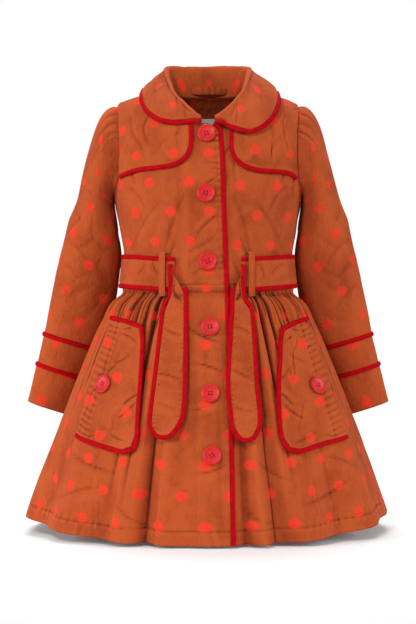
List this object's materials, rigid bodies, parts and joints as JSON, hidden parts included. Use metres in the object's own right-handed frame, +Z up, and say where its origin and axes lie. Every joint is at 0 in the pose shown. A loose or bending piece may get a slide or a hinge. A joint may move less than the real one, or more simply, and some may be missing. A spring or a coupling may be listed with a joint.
{
  "type": "trench coat",
  "caption": "Child's trench-style coat, hollow and filled out as worn, with a gathered skirt, round bound collar, storm flaps, belt with hanging ends, patch pockets and buttoned front.",
  "frame": {"origin": "the middle of the neck opening, level with the side-neck points", "axes": "+Z up, -Y the way the coat faces, +X towards the wearer's left"},
  "size_m": [0.5158, 0.3629, 0.651],
  "materials": {
    "rust_cotton": "slubbed plain-weave cotton with orange-red dots",
    "red_binding": "matte bias binding",
    "red_plastic": "soft gloss",
    "pale_lining": "plain matte cotton"
  },
  "bodies": {
    "root": {"back": "rust_cotton", "front_right": "rust_cotton", "front_left": "rust_cotton", "skirt_back": "rust_cotton", "skirt_front_right": "rust_cotton", "skirt_front_left": "rust_cotton", "collar": "rust_cotton", "storm_flap_right": "rust_cotton", "storm_flap_left": "rust_cotton", "sleeve_right": "rust_cotton", "sleeve_left": "rust_cotton", "sleeve_band_right": "rust_cotton", "sleeve_band_left": "rust_cotton", "sleeve_cuff_right": "rust_cotton", "sleeve_cuff_left": "rust_cotton", "belt": "rust_cotton", "belt_loop_right": "rust_cotton", "belt_loop_left": "rust_cotton", "belt_end_right": "rust_cotton", "belt_end_left": "rust_cotton", "pocket_right": "rust_cotton", "pocket_left": "rust_cotton", "neck_facing": "rust_cotton", "hanger_loop": "rust_cotton", "collar_binding": "red_binding", "storm_flap_binding_right": "red_binding", "storm_flap_binding_left": "red_binding", "sleeve_binding_upper_right": "red_binding", "sleeve_binding_upper_left": "red_binding", "sleeve_binding_lower_right": "red_binding", "sleeve_binding_lower_left": "red_binding", "belt_binding_upper": "red_binding", "belt_binding_lower": "red_binding", "belt_end_binding_right": "red_binding", "belt_end_binding_left": "red_binding", "pocket_binding_right": "red_binding", "pocket_binding_left": "red_binding", "front_edge_binding": "red_binding", "button_1": "red_plastic", "button_2": "red_plastic", "button_3": "red_plastic", "button_4": "red_plastic", "button_5": "red_plastic", "button_6": "red_plastic", "pocket_button_right": "red_plastic", "pocket_button_left": "red_plastic", "neck_patch": "pale_lining"}
  },
  "joints": []
}
